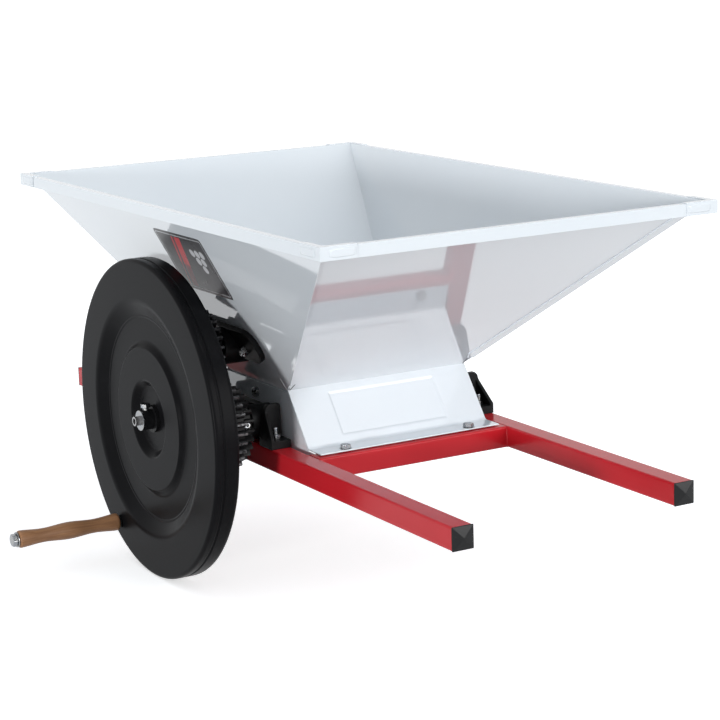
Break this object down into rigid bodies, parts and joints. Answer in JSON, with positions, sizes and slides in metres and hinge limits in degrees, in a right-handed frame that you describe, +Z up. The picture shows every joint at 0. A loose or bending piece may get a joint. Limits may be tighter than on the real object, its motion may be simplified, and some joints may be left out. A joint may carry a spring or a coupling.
{
  "type": "grape crusher",
  "caption": "Hand cranked grape crusher: sheet hopper over fluted rollers on a square tube frame, with a flywheel, crank grip and gear driven agitator.",
  "frame": {"origin": "midway between the two rails, under the hopper's centre, at the rails' underside", "axes": "+Z up, +Y along the rails towards the end away from the pictured front, +X across the rails, away from the flywheel"},
  "size_m": [0.7467, 1.128, 0.5247],
  "materials": {
    "hopper_paint": "gloss pale grey white enamel on sheet steel",
    "frame_paint": "gloss red enamel on square tube",
    "cap_plastic": "moulded black",
    "cast_black": "satin black paint on castings and gears",
    "zinc": "bright zinc plating",
    "shaft_steel": "drawn bar",
    "bush_bronze": "turned",
    "roller_alloy": "cast and fluted",
    "wheel_plastic": "satin charcoal moulding",
    "ring_iron": "bare casting",
    "grip_wood": "turned and varnished"
  },
  "bodies": {
    "frame": {"rail_left": "frame_paint", "rail_right": "frame_paint", "crossbar_front": "frame_paint", "crossbar_rear": "frame_paint", "rail_end_caps": "cap_plastic", "hopper_wall_left": "hopper_paint", "hopper_wall_right": "hopper_paint", "hopper_wall_front": "hopper_paint", "hopper_wall_rear": "hopper_paint", "rim_corners": "hopper_paint", "skirt_front": "hopper_paint", "skirt_rear": "hopper_paint", "skirt_plate_left": "hopper_paint", "skirt_plate_right": "hopper_paint", "skirt_bolts": "zinc", "skirt_washers": "zinc", "lap_bolts": "zinc", "lap_nuts": "zinc", "bracket_left": "cast_black", "bracket_right": "cast_black", "bracket_studs": "zinc", "bracket_nuts": "zinc", "roller_bushes": "bush_bronze", "agitator_bearing_left": "cast_black", "agitator_bearing_right": "cast_black", "agitator_bushes": "bush_bronze", "agitator_bearing_bolts": "zinc", "agitator_bearing_nuts": "zinc"},
    "drive": {"drive_shaft": "shaft_steel", "drive_roller": "roller_alloy", "drive_roller_pins": "shaft_steel", "drive_collar": "shaft_steel", "drive_gear": "cast_black", "drive_gear_screw": "zinc", "wheel_spacer_tube": "shaft_steel", "flywheel_face": "wheel_plastic", "flywheel_back": "wheel_plastic", "flywheel_ring": "ring_iron", "flywheel_hub": "cast_black", "flywheel_hub_screw": "zinc", "drive_end_washer": "zinc", "crank_pin": "zinc", "crank_root_collar": "cast_black", "crank_tip_washer": "zinc", "crank_nut": "zinc"},
    "grip": {"crank_grip": "grip_wood"},
    "driven": {"driven_shaft": "shaft_steel", "driven_roller": "roller_alloy", "driven_roller_pins": "shaft_steel", "driven_collar": "shaft_steel", "driven_gear": "cast_black", "driven_gear_screw": "zinc"},
    "agitator": {"agitator_shaft": "shaft_steel", "agitator_rods": "shaft_steel", "agitator_collar": "shaft_steel", "agitator_gear": "cast_black", "agitator_gear_screw": "zinc"}
  },
  "joints": [
    {"name": "flywheel_turn", "type": "hinge", "parent": "frame", "child": "drive", "pos_m": [0, 0.048, 0.059], "axis": [1, 0, 0], "continuous": true},
    {"name": "driven_turn", "type": "hinge", "parent": "frame", "child": "driven", "pos_m": [0, -0.048, 0.059], "axis": [1, 0, 0], "continuous": true},
    {"name": "agitator_turn", "type": "hinge", "parent": "frame", "child": "agitator", "pos_m": [0, 0, 0.15798], "axis": [1, 0, 0], "continuous": true},
    {"name": "grip_spin", "type": "hinge", "parent": "drive", "child": "grip", "pos_m": [-0.3725, 0.15398, -0.11061], "axis": [1, 0, 0], "continuous": true}
  ],
  "couplings": [
    {"joint": "driven_turn", "follows": "flywheel_turn", "ratio": -1},
    {"joint": "agitator_turn", "follows": "flywheel_turn", "ratio": 1.2}
  ]
}
